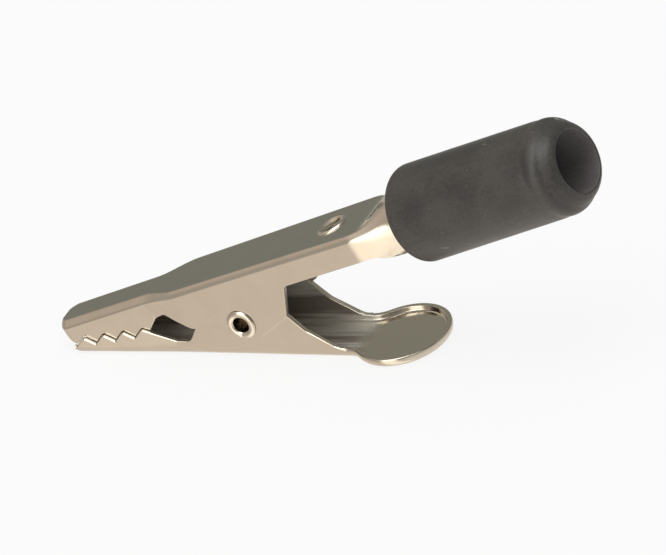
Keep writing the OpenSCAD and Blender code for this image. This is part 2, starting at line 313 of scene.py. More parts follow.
    def gradient(self, factor: Socket, stops: tuple) -> Socket:
        """Adds a row of colours.

        Args:
            factor: The value read, from 0 to 1.
            stops: Each stop as (value, (red, green, blue)), in rising order.

        Returns:
            The colour.
        """
        node = self.add("ShaderNodeValToRGB")
        self.link(factor, node.inputs["Fac"])
        row = node.color_ramp.elements
        row[0].position, row[0].color = stops[0][0], (*stops[0][1], 1.0)
        row[1].position, row[1].color = stops[-1][0], (*stops[-1][1], 1.0)
        for place, colour in stops[1:-1]:
            row.new(place).color = (*colour, 1.0)
        return node.outputs["Color"]

    def bump(self, height: Socket, distance: float) -> Socket:
        """Adds a bump.

        Args:
            height: Its height from 0 to 1.
            distance: The real height of 1.

        Returns:
            The normal.
        """
        node = self.add("ShaderNodeBump")
        node.inputs["Strength"].default_value = 1.0
        node.inputs["Distance"].default_value = distance * MM
        self.link(height, node.inputs["Height"])
        return node.outputs["Normal"]


class Surface:
    """A material in the making: its nodes, its shader and the piece's own coordinates."""

    def __init__(self, name: str) -> None:
        """Starts a material.

        Args:
            name: Its name.
        """
        self.material = bpy.data.materials.new(name)
        self.material.use_nodes = True
        self.nodes = Nodes(self.material.node_tree)
        self.place = self.nodes.add("ShaderNodeTexCoord").outputs["Object"]
        self.shader = self.nodes.add("ShaderNodeBsdfPrincipled")
        out = self.nodes.add("ShaderNodeOutputMaterial")
        self.nodes.link(self.shader.outputs["BSDF"], out.inputs["Surface"])

    def feed(self, name: str, value: object) -> None:
        """Feeds one of the shader's inputs.

        Args:
            name: The input's name.
            value: A socket or a number.
        """
        self.nodes.feed(self.shader.inputs[name], value)


@dataclass(frozen=True)
class NickelPlate:
    """Bright nickel on drawn steel: fine lines along the strip, faint clouds and rubbed patches."""

    name: str
    colour: tuple = (0.675, 0.62, 0.54)
    shade: tuple = (0.635, 0.585, 0.51)
    smooth: float = 0.12
    rough: float = 0.18
    line_turn: tuple = (0.0, 0.0, 0.0)
    line_stretch: tuple = (0.06, 1.0, 1.0)
    line_height: float = 0.0006
    lines_per_metre: float = 9000.0
    clouds_per_metre: float = 260.0
    specks_per_metre: float = 5200.0

    def build(self) -> Material:
        """Returns the material."""
        surface = Surface(self.name)
        nodes = surface.nodes
        drawn = nodes.stretch(surface.place, self.line_stretch, self.line_turn)
        lines = nodes.noise(drawn, self.lines_per_metre, 3.0, 0.6)
        clouds = nodes.noise(surface.place, self.clouds_per_metre, 4.0, 0.55)
        specks = nodes.noise(surface.place, self.specks_per_metre, 2.0, 0.6)
        cloudy = nodes.ramp(clouds, 0.35, 0.7, 0.0, 0.6)
        lined = nodes.ramp(lines, 0.4, 0.7, 0.0, 0.4)
        blur = nodes.math("ADD", cloudy, lined)
        surface.feed("Metallic", 1.0)
        surface.feed("Base Color", nodes.mix(nodes.ramp(clouds, 0.38, 0.66), self.colour, self.shade))
        surface.feed("Roughness", nodes.ramp(blur, 0.0, 1.0, self.smooth, self.rough))
        surface.feed("Normal", nodes.bump(nodes.weigh((lines, 0.7), (specks, 0.3)), self.line_height))
        return surface.material


@dataclass(frozen=True)
class InnerPlate:
    """The strip's inner face: duller nickel with long light and dark streaks, which are partly drawing marks
    and partly painted reflections; bright again behind a given place.
    """

    name: str
    # Painted reflections: colour is the pale streak and shade the dark streak, partly drawing marks, partly
    # reflections painted along the channel
    colour: tuple = (0.80, 0.765, 0.68)
    shade: tuple = (0.34, 0.30, 0.26)
    bright: tuple = (0.675, 0.62, 0.54)
    dull: float = 0.45
    dull_rough: float = 0.3
    bright_rough: float = 0.15
    dull_until: float = 9.5
    bright_from: float = 12.5
    line_turn: tuple = (0.0, 0.0, 0.0)
    line_stretch: tuple = (0.05, 1.0, 1.0)
    line_height: float = 0.001
    lines_per_metre: float = 9000.0
    streaks_per_metre: float = 1500.0
    bands_per_metre: float = 620.0

    def build(self) -> Material:
        """Returns the material."""
        surface = Surface(self.name)
        nodes = surface.nodes
        drawn = nodes.stretch(surface.place, self.line_stretch, self.line_turn)
        streaks = nodes.noise(drawn, self.streaks_per_metre, 3.0, 0.6)
        bands = nodes.noise(drawn, self.bands_per_metre, 1.0, 0.4)
        lines = nodes.noise(drawn, self.lines_per_metre, 3.0, 0.6)
        along = nodes.add("ShaderNodeSeparateXYZ")
        nodes.link(surface.place, along.inputs[0])
        dish = nodes.ramp(along.outputs["X"], self.dull_until * MM, self.bright_from * MM)
        # Painted reflections and drawing marks: bands along the strip between the dark shade and the pale
        # colour
        tone_noise = nodes.weigh((streaks, 0.45), (bands, 0.55))
        streaks_and_painted_reflections = nodes.mix(nodes.ramp(tone_noise, 0.44, 0.57), self.shade, self.colour)
        surface.feed("Base Color", nodes.mix(dish, streaks_and_painted_reflections, self.bright))
        surface.feed("Metallic", nodes.ramp(dish, 0.0, 1.0, self.dull, 1.0))
        surface.feed("Roughness", nodes.ramp(dish, 0.0, 1.0, self.dull_rough, self.bright_rough))
        surface.feed("Normal", nodes.bump(lines, self.line_height))
        return surface.material


@dataclass(frozen=True)
class ShearedEdge:
    """The cut edge of the strip: plated over and rougher, coloured a little brighter than the plate as a
    painted highlight, with fine marks of the die.
    """

    name: str
    # Painted highlight: both tones sit above the plate's, for the bright glint along the cut edges
    colour: tuple = (0.74, 0.69, 0.61)
    shade: tuple = (0.64, 0.59, 0.51)
    smooth: float = 0.28
    rough: float = 0.4
    mark_stretch: tuple = (1.0, 0.15, 1.0)
    mark_height: float = 0.004
    marks_per_metre: float = 14000.0

    def build(self) -> Material:
        """Returns the material."""
        surface = Surface(self.name)
        nodes = surface.nodes
        marks = nodes.noise(nodes.stretch(surface.place, self.mark_stretch), self.marks_per_metre, 3.0, 0.6)
        surface.feed("Metallic", 1.0)
        surface.feed("Base Color", nodes.mix(nodes.ramp(marks, 0.35, 0.65), self.colour, self.shade))
        surface.feed("Roughness", nodes.ramp(marks, 0.3, 0.7, self.smooth, self.rough))
        surface.feed("Normal", nodes.bump(marks, self.mark_height))
        return surface.material


@dataclass(frozen=True)
class SleevePlastic:
    """Moulded black plastic: a satin skin with fine grain, faint lengthwise drag marks and pale specks."""

    name: str
    colour: tuple = (0.039, 0.0355, 0.0325)
    rubbed: tuple = (0.066, 0.060, 0.055)
    speck: tuple = (0.24, 0.23, 0.21)
    gloss: float = 0.4
    gloss_less: float = 0.03
    gloss_more: float = 0.07
    drag_stretch: tuple = (0.08, 1.0, 1.0)
    speck_stretch: tuple = (0.6, 1.0, 1.0)
    grain_height: float = 0.012
    drags_per_metre: float = 2600.0
    clouds_per_metre: float = 260.0
    grains_per_metre: float = 4200.0
    specks_per_metre: float = 1150.0

    def build(self) -> Material:
        """Returns the material."""
        surface = Surface(self.name)
        nodes = surface.nodes
        dragged = nodes.stretch(surface.place, self.drag_stretch, ALONG_ROOF)
        drag = nodes.noise(dragged, self.drags_per_metre, 3.0, 0.6)
        clouds = nodes.noise(surface.place, self.clouds_per_metre, 3.0, 0.5)
        grain = nodes.noise(surface.place, self.grains_per_metre, 3.0, 0.65)
        lengthened = nodes.stretch(surface.place, self.speck_stretch, ALONG_ROOF)
        specks = nodes.noise(lengthened, self.specks_per_metre, 0.0)
        tone_noise = nodes.weigh((drag, 0.15), (nodes.math("ADD", grain, clouds), 0.42))
        skin = nodes.mix(nodes.ramp(tone_noise, 0.40, 0.60), self.colour, self.rubbed)
        surface.feed("Base Color", nodes.mix(nodes.ramp(specks, 0.80, 0.86), skin, self.speck))
        smooth, rough = self.gloss - self.gloss_less, self.gloss + self.gloss_more
        surface.feed("Roughness", nodes.ramp(clouds, 0.3, 0.7, smooth, rough))
        surface.feed("Normal", nodes.bump(nodes.weigh((grain, 0.9), (drag, 0.1)), self.grain_height))
        return surface.material


def made(finish: NickelPlate | InnerPlate | ShearedEdge | SleevePlastic) -> Material:
    """Returns a dataclass field that holds the material of a finish."""
    return field(default_factory=finish.build)


@dataclass
class Finishes:
    """Every finish of the clip, built once."""

    roof_sheet: Material = made(NickelPlate("nickel_upper_strip", line_turn=ALONG_ROOF))
    base_sheet: Material = made(NickelPlate("nickel_lower_strip"))
    roof_inside: Material = made(InnerPlate(
        "nickel_upper_inside", line_turn=ALONG_ROOF, dull_until=40.0, bright_from=44.0
    ))
    base_inside: Material = made(InnerPlate("nickel_lower_inside"))
    cut_edge: Material = made(ShearedEdge("nickel_cut_edge_painted_bright"))
    turned: Material = made(NickelPlate("nickel_rivet_and_screw", rough=0.24))
    wire: Material = made(NickelPlate(
        "spring_steel_wire", colour=(0.42, 0.40, 0.38), shade=(0.30, 0.285, 0.27), smooth=0.2, rough=0.34
    ))
    plastic: Material = made(SleevePlastic("black_moulded_plastic"))
    # Painted light: the mouth's inside is this black plastic coloured about four times lighter than the
    # outside, standing for light in the shaded bore
    bore_with_painted_light: Material = made(SleevePlastic(
        "black_plastic_inside_painted_lighter", colour=(0.155, 0.138, 0.141), rubbed=(0.20, 0.18, 0.182), gloss=0.6
    ))


def new_piece(name: str, mesh: bpy.types.Mesh, materials: list) -> Piece:
    """Dresses a bare mesh and adds it to the scene as an object at the origin.

    Args:
        name: The piece's name.
        mesh: Its mesh, in metres, whose faces may already hold their slot's number.
        materials: Its materials, in slot order.

    Returns:
        The object.
    """
    mesh.name = name
    for material in materials:
        mesh.materials.append(material)
    return add_object(name, mesh)


def settle(piece: Piece, body: Body, node: str) -> None:
    """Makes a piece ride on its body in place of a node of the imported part.

    Args:
        piece: The piece.
        body: The body that carries it.
        node: The node that it stands for.
    """
    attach(piece, body.value)
    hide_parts(node)
    LOG.info("%s: %d faces, rides on %s", piece.name, len(piece.data.polygons), body.value)


def apply_modifiers(piece: Piece) -> None:
    """Bakes a piece's modifiers into its mesh and removes them.

    Args:
        piece: The piece.
    """
    graph = bpy.context.evaluated_depsgraph_get()
    mesh = bpy.data.meshes.new_from_object(piece.evaluated_get(graph))
    piece.modifiers.clear()
    old = piece.data
    piece.data = mesh
    mesh.name = piece.name
    bpy.data.meshes.remove(old)


@dataclass
class PressedSheet:
    """A jaw as pressed from one strip, with its sheared edges slightly rounded.

    The places on the nose and on the middle line are level with the jaw's own base or roof. No edge between
    calm_from and calm_to is rounded. A lean is the share of a face's normal that points along an axis.
    """

    node: str
    name: str
    body: Body
    tilt: float = 0.0
    sheet: float = 0.5
    weld: float = 0.05
    flat_angle: float = 0.3
    sharp_angle: float = 36.0
    split_angle: float = 50.0
    edge_round: float = 0.1
    edge_steps: int = 2
    calm_from: float = 0.0
    calm_to: float = 0.0
    middle_h: float = -1.5
    middle_climb: float = 0.0
    climb_from: float = 10.0
    climb_run: float = 10.0
    nose_flare: float = 0.0
    flare_from: float = -6.3
    flare_run: float = 2.9
    flare_top: float = 5.15
    flare_fall: float = 0.4
    cheek_from: float = 1.0
    cut_narrowest: float = 0.6
    cut_widest: float = 1.1
    cut_lean: float = 0.04
    inner_lean: float = 0.3
    side_lean: float = 0.8
    slant_lean: float = 0.2

    def build(self, plate: Material, edge: Material, inside: Material) -> Piece:
        """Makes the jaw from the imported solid.

        Args:
            plate: Finish of the outer faces.
            edge: Finish of the cut edges.
            inside: Finish of the inner faces.

        Returns:
            The jaw.
        """
        mesh = bpy.data.meshes.new(self.name)
        shape = bmesh.new()
        shape.from_mesh(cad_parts[self.node].data)
        bmesh.ops.remove_doubles(shape, verts=shape.verts, dist=self.weld * MM)
        bmesh.ops.dissolve_degenerate(shape, edges=shape.edges, dist=self.weld * MM)
        flat = math.radians(self.flat_angle)
        bmesh.ops.dissolve_limit(shape, angle_limit=flat, verts=shape.verts, edges=shape.edges, delimit=set())
        self.flare_nose(shape)
        self.mark_faces(shape)
        self.round_edges(shape)
        shape.to_mesh(mesh)
        shape.free()
        piece = new_piece(self.name, mesh, [plate, edge, inside])
        mesh.set_sharp_from_angle(angle=math.radians(self.split_angle))
        weighted = piece.modifiers.new("even_faces", "WEIGHTED_NORMAL")
        weighted.keep_sharp = True
        apply_modifiers(piece)
        settle(piece, self.body, self.node)
        return piece

    def round_edges(self, shape: bmesh.types.BMesh) -> None:
        """Rounds the sharp edges and shades every face smooth but the facets of the shoulder.

        Args:
            shape: The jaw's mesh.
        """
        bmesh.ops.bevel(
            shape,
            geom=[edge for edge in shape.edges if self.is_sharp(edge)],
            offset=self.edge_round * MM,
            segments=self.edge_steps,
            profile=0.5,
            affect="EDGES",
            clamp_overlap=False,
        )
        for face in shape.faces:
            face.smooth = abs(face.normal.x) < self.slant_lean or abs(face.normal.y) < self.side_lean

    def is_sharp(self, edge: bmesh.types.BMEdge) -> bool:
        """Tells whether an edge is to be rounded.

        Args:
            edge: An edge of the jaw's mesh.

        Returns:
            Whether it is sharp and doesn't lie where the shoulder meets the throat, which stays as cut.
        """
        bent = len(edge.link_faces) == 2 and edge.calc_face_angle(0.0) > math.radians(self.sharp_angle)
        return bent and not all(self.calm_from < v.co.x / MM < self.calm_to for v in edge.verts)

    def flare_nose(self, shape: bmesh.types.BMesh) -> None:
        """Spreads the cheeks of the nose towards the teeth, until they stand flush with the other jaw's.

        Args:
            shape: The jaw's mesh.
        """
        level = Matrix.Rotation(math.radians(self.tilt), 3, "Y")
        for vertex in shape.verts:
            place = level @ vertex.co / MM
            forward = clamp((self.flare_from - place.x) / self.flare_run)
            down = clamp((self.flare_top - place.z) / self.flare_fall)
            if abs(place.y) > self.cheek_from:
                vertex.co.y += math.copysign(self.nose_flare * forward * down * MM, vertex.co.y)

    def mark_faces(self, shape: bmesh.types.BMesh) -> None:
        """Gives the narrow faces across the strip's thickness the edge finish and the inner faces theirs.

        Args:
            shape: The jaw's mesh.
        """
        level = Matrix.Rotation(math.radians(self.tilt), 3, "Y")
        for face in shape.faces:
            across = [v.co.y for v in face.verts]
            narrow = self.cut_narrowest < (max(across) - min(across)) / (self.sheet * MM) < self.cut_widest
            on_side = min(abs(y) for y in across) > 2 * self.sheet * MM
            centre, normal = level @ face.calc_center_median() / MM, level @ face.normal
            climb = self.middle_climb * min(max(centre.x - self.climb_from, 0.0), self.climb_run)
            inwards = Vector((0.0, -centre.y, self.middle_h + climb - centre.z)).normalized()
            if narrow and on_side and abs(face.normal.y) < self.cut_lean:
                face.material_index = 1
            elif normal.dot(inwards) > self.inner_lean:
                face.material_index = 2


class NodeTree:
    """A tree of Geometry Nodes with named inputs."""

    def __init__(self, name: str) -> None:
        """Makes an empty tree that takes and gives a geometry.

        Args:
            name: The tree's name.
        """
        self.tree = bpy.data.node_groups.new(name, "GeometryNodeTree")
        self.nodes = Nodes(self.tree)
        self.sockets: dict = {}
        self.tree.interface.new_socket(name="Geometry", in_out="INPUT", socket_type="NodeSocketGeometry")
        self.tree.interface.new_socket(name="Geometry", in_out="OUTPUT", socket_type="NodeSocketGeometry")
        self.entry = self.nodes.add("NodeGroupInput")
        self.exit = self.nodes.add("NodeGroupOutput")

    def size(self, name: str, kind: str, value: float) -> Socket:
        """Adds a named size.

        Args:
            name: Its name.
            kind: Float or Int.
            value: Its value.

        Returns:
            The socket inside the tree.
        """
        socket = self.tree.interface.new_socket(name=name, in_out="INPUT", socket_type="NodeSocket" + kind)
        self.sockets[socket.identifier] = value
        return self.entry.outputs[name]

    def close(self, geometry: Socket, material: Material) -> None:
        """Ends the tree in plain meshes with a material.

        Args:
            geometry: The geometry to end with.
            material: Its finish.
        """
        real = self.nodes.add("GeometryNodeRealizeInstances")
        dressed = self.nodes.add("GeometryNodeSetMaterial")
        dressed.inputs["Material"].default_value = material
        self.nodes.link(geometry, real.inputs["Geometry"])
        self.nodes.link(real.outputs["Geometry"], dressed.inputs["Geometry"])
        self.nodes.link(dressed.outputs["Geometry"], self.exit.inputs[0])

    def grid(self, rows: object, columns: object) -> tuple:
        """Adds a flat grid, to be bent into a piece.

        Args:
            rows: Number of rows, as a socket or a number.
            columns: Points in each row, as a socket or a number.

        Returns:
            The grid, and for each of its points the number of its row and its number in the row.
        """
        nodes = self.nodes
        grid = nodes.add("GeometryNodeMeshGrid")
        nodes.feed(grid.inputs["Vertices X"], rows)
        nodes.feed(grid.inputs["Vertices Y"], columns)
        index = nodes.add("GeometryNodeInputIndex").outputs[0]
        row = nodes.math("FLOOR", nodes.math("DIVIDE", nodes.math("ADD", index, 0.5), columns))
        return grid.outputs["Mesh"], row, nodes.math("SUBTRACT", index, nodes.math("MULTIPLY", row, columns))

    def outline_point(self, number: Socket) -> bpy.types.NodeOutputs:
        """Reads a point of the object that the tree runs on.

        Args:
            number: The point's number.

        Returns:
            Its X, Y and Z.
        """
        nodes = self.nodes
        point = nodes.add("GeometryNodeSampleIndex", data_type="FLOAT_VECTOR", domain="POINT")
        nodes.link(self.entry.outputs[0], point.inputs["Geometry"])
        nodes.link(nodes.add("GeometryNodeInputPosition").outputs[0], point.inputs["Value"])
        nodes.link(number, point.inputs["Index"])
        parts = nodes.add("ShaderNodeSeparateXYZ")
        nodes.link(point.outputs[0], parts.inputs[0])
        return parts.outputs

    def turned(self, radius: Socket, angle: Socket) -> tuple:
        """Returns the two coordinates of a place on a circle.

        Args:
            radius: The circle's radius.
            angle: The place's angle in radians.
        """
        nodes = self.nodes
        first = nodes.math("MULTIPLY", radius, nodes.math("COSINE", angle))
        return first, nodes.math("MULTIPLY", radius, nodes.math("SINE", angle))

    def bend(self, grid: Socket, x: Socket, y: Socket, z: Socket, material: Material) -> None:
        """Moves the points of a grid and ends the tree with it.

        Args:
            grid: The grid.
            x: Their new X.
            y: Their new Y.
            z: Their new Z.
            material: Its finish.
        """
        nodes = self.nodes
        join = nodes.add("ShaderNodeCombineXYZ")
        for socket, value in zip(join.inputs, (x, y, z)):
            nodes.link(value, socket)
        bent = nodes.add("GeometryNodeSetPosition")
        nodes.link(grid, bent.inputs["Geometry"])
        nodes.link(join.outputs[0], bent.inputs["Position"])
        self.close(bent.outputs["Geometry"], material)

    def make(self, name: str, source: Piece, smooth_angle: float) -> Piece:
        """Runs the tree on an object and keeps the result as a plain mesh.

        Args:
            name: The new piece's name.
            source: The object that it starts from, which is removed.
            smooth_angle: Edges sharper than this many degrees stay sharp.

        Returns:
            The piece.
        """
        modifier = source.modifiers.new(self.tree.name, "NODES")
        modifier.node_group = self.tree
        for identifier, value in self.sockets.items():
            modifier[identifier] = value
        graph = bpy.context.evaluated_depsgraph_get()
        mesh = bpy.data.meshes.new_from_object(source.evaluated_get(graph))
        bpy.data.objects.remove(source)
        shape = bmesh.new()
        shape.from_mesh(mesh)
        bmesh.ops.remove_doubles(shape, verts=shape.verts, dist=SAME_POINT)
        bmesh.ops.recalc_face_normals(shape, faces=shape.faces)
        for face in shape.faces:
            face.smooth = True
        shape.to_mesh(mesh)
        shape.free()
        mesh.set_sharp_from_angle(angle=math.radians(smooth_angle))
        return new_piece(name, mesh, [])


def curve_object(name: str, points: list, cyclic: bool = False) -> Piece:
    """Adds a curve of straight stretches.

    Args:
        name: Its name.
        points: Its points in millimetres.
        cyclic: Whether it closes.

    Returns:
        The curve's object.
    """
    curve = bpy.data.curves.new(name, "CURVE")
    curve.dimensions = "3D"
    spline = curve.splines.new("POLY")
    spline.points.add(len(points) - 1)
    for target, point in zip(spline.points, points):
        target.co = (*(Vector(point) * MM), 1.0)
    spline.use_cyclic_u = cyclic
    return add_object(name, curve)


def rounded(corners: list, steps: int) -> list:
    """Rounds the corners of a closed outline.

    Args:
        corners: Each corner as (first, second, radius).
        steps: Stretches in each arc.

    Returns:
        The outline's points.
    """
    points = []
    for i, (x, y, r) in enumerate(corners):
        here = Vector((x, y))
        if r == 0:
            points.append(here)
            continue
        u = (Vector(corners[i - 1][:2]) - here).normalized()
        v = (Vector(corners[(i + 1) % len(corners)][:2]) - here).normalized()
        half = u.angle(v) / 2
        middle = here + (u + v).normalized() * r / math.sin(half)
        first = here + u * r / math.tan(half) - middle
        turn = math.copysign(math.pi - 2 * half, -(u.x * v.y - u.y * v.x))
        for k in range(steps + 1):
            points.append(middle + Matrix.Rotation(turn * k / steps, 2) @ first)
    return points


@dataclass
class TurnedPiece:
    """A piece that a closed profile makes by turning about an axis, through Geometry Nodes."""

    name: str
    steps: int
    smooth_angle: float

    def turn(self, profile: list, place: Matrix, material: Material) -> Piece:
        """Turns a profile about the local X axis.

        Args:
            profile: Points as (distance along the axis, radius) in millimetres.
            place: Turn and shift of the local frame, in millimetres.
            material: Its finish.

        Returns:
            The piece.
        """
        source = curve_object(self.name + "_profile", [(p[0], p[1], 0.0) for p in profile], cyclic=True)
        tree = NodeTree(self.name + "_lathe")
        count = tree.size("Profile points", "Int", len(profile))
        steps = tree.size("Steps", "Int", self.steps)
        nodes = tree.nodes
        grid, row, turn = tree.grid(nodes.math("ADD", count, 1), nodes.math("ADD", steps, 1))
        angle = nodes.math("MULTIPLY", nodes.math("DIVIDE", turn, steps), 2 * math.pi)
        point = tree.outline_point(nodes.math("MODULO", row, count))
        tree.bend(grid, point["X"], *tree.turned(point["Y"], angle), material)
        piece = tree.make(self.name, source, self.smooth_angle)
        piece.data.transform(Matrix.Scale(MM, 4) @ place @ Matrix.Scale(1 / MM, 4))
        return piece


@dataclass
class HollowRivet:
    """The hollow rivet: a tube with a rolled lip at each end, rolled a little unevenly.

    The waves and the nick are shares of the lip's height. Their angles are in radians from +X towards +Z.
    """

    shank_r: float = 1.2
    eye_r: float = 0.83
    lip_r: float = 0.35
    lip_h: float = 0.18
    lip_steps: int = 20
    face: float = 3.4975
    seat: float = 0.02
    calm_h: float = 0.03
    wide_wave: float = 0.035
    wide_waves: int = 2
    wide_shift: float = 0.7
    short_wave: float = 0.02
    short_waves: int = 5
    nick_depth: float = 0.25
    nick_at: float = -1.75
    nick_w: float = 0.11

    def profile(self) -> list:
        """Returns the closed outline of the tube and both lips, as (distance across the clip, radius)."""
        rim = self.face + self.seat
        middle = self.eye_r + self.lip_r
        right = [
            (rim + self.lip_h * math.sin(turn), middle - self.lip_r * math.cos(turn))
            for turn in (math.pi * k / self.lip_steps for k in range(self.lip_steps + 1))
        ]
        left = [(-across, radius) for across, radius in reversed(right)]
        return right + [(rim, self.shank_r), (-rim, self.shank_r)] + left

    def build(self, finish: Material) -> Piece:
        """Makes the rivet.

        Args:
            finish: Its finish.

        Returns:
            The rivet.
        """
        across = Matrix.Rotation(math.radians(90.0), 4, "Z")
        piece = TurnedPiece("hollow_rivet", steps=96, smooth_angle=60.0).turn(self.profile(), across, finish)
        self.roll_unevenly(piece.data)
        settle(piece, Body.UPPER, "pivot_rivet")
        return piece

    def roll_unevenly(self, mesh: bpy.types.Mesh) -> None:
        """Waves the rolled lips and nicks each of them once, as the roller leaves them.

        Args:
            mesh: The rivet's mesh.
        """
        rim = self.face + self.seat
        for vertex in mesh.vertices:
            x, y, z = (c / MM for c in vertex.co)
            out = abs(y) - rim
            if out < self.calm_h:
                continue
            angle = math.atan2(z, x)
            swell = self.wide_wave * math.sin(self.wide_waves * angle + self.wide_shift)
            swell += self.short_wave * math.sin(self.short_waves * angle)
            off = (angle - self.nick_at + math.pi) % (2 * math.pi) - math.pi
            nick = self.nick_depth * math.exp(-((off / self.nick_w) ** 2))
            vertex.co.y = math.copysign(rim + out * (1 - nick + swell), y) * MM


@dataclass
class TorsionSpring:
    """The wire spring: a closed coil round the rivet and a straight leg under each jaw."""

    wire_r: float = 0.3
    coil_r: float = 1.75
    turns: int = 3
    upper_leg: float = 9.5
    lower_leg: float = 6.6
    roof_in: float = 4.75
    floor_z: float = -3.55
    seat: float = 0.02
    steps_per_turn: int = 48
    sides: int = 16
    pitch_share: float = 1.04
    smooth_angle: float = 50.0

    def path(self) -> list:
        """Returns the wire's middle line from the end of the lower leg to the end of the upper one."""
        low = Vector((self.lower_leg, self.floor_z + self.wire_r + self.seat))
        raised = on_roof(self.upper_leg, 0.0, self.roof_in - self.wire_r - self.seat)
        high = Vector((raised.x, raised.z))
        start = math.atan2(low.y, low.x) - math.acos(self.coil_r / low.length)
        end = math.atan2(high.y, high.x) + math.acos(self.coil_r / high.length)
        sweep = 2 * math.pi * (self.turns + 1) + start - end
        width = self.width(sweep)
        count = self.steps_per_turn * (self.turns + 1)
        points = [Vector((low.x, -width / 2, low.y))]
        for k in range(count + 1):
            angle = start - sweep * k / count
            across = width * (k / count - 0.5)
            points.append(Vector((self.coil_r * math.cos(angle), across, self.coil_r * math.sin(angle))))
        points.append(Vector((high.x, width / 2, high.y)))
        return points

    def width(self, sweep: float) -> float:
        """Returns the coil's width between the middles of its two legs.

        Args:
            sweep: Angle that the coil turns through, in radians.
        """
        return 2 * self.wire_r * self.pitch_share * sweep / (2 * math.pi)

    def build(self, finish: Material) -> Piece:
        """Makes the spring, which sits between the two bodies.

        Args:
            finish: Its finish.

        Returns:
            The spring.
        """
        points = self.path()
        source = curve_object("spring_path", points)
        tree = NodeTree("spring_wire")
        radius = tree.size("Wire radius", "Float", self.wire_r * MM)
        sides = tree.size("Sides", "Int", self.sides)
        nodes = tree.nodes
        ring = nodes.add("GeometryNodeCurvePrimitiveCircle", mode="RADIUS")
        nodes.link(radius, ring.inputs["Radius"])
        nodes.link(sides, ring.inputs["Resolution"])
        swept = nodes.add("GeometryNodeCurveToMesh")
        nodes.link(tree.entry.outputs[0], swept.inputs["Curve"])
        nodes.link(ring.outputs["Curve"], swept.inputs["Profile Curve"])
        swept.inputs["Fill Caps"].default_value = True
        tree.close(swept.outputs["Mesh"], finish)
        piece = tree.make("torsion_spring_wire", source, self.smooth_angle)
        settle_between(piece)
        return piece


def settle_between(piece: Piece) -> None:
    """Bakes the spring into the part's frame, on neither body, in place of the imported spring.

    Args:
        piece: The spring.
    """
    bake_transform(piece)
    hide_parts("torsion_spring")
    LOG.info("%s: %d faces, turns between the bodies", piece.name, len(piece.data.polygons))


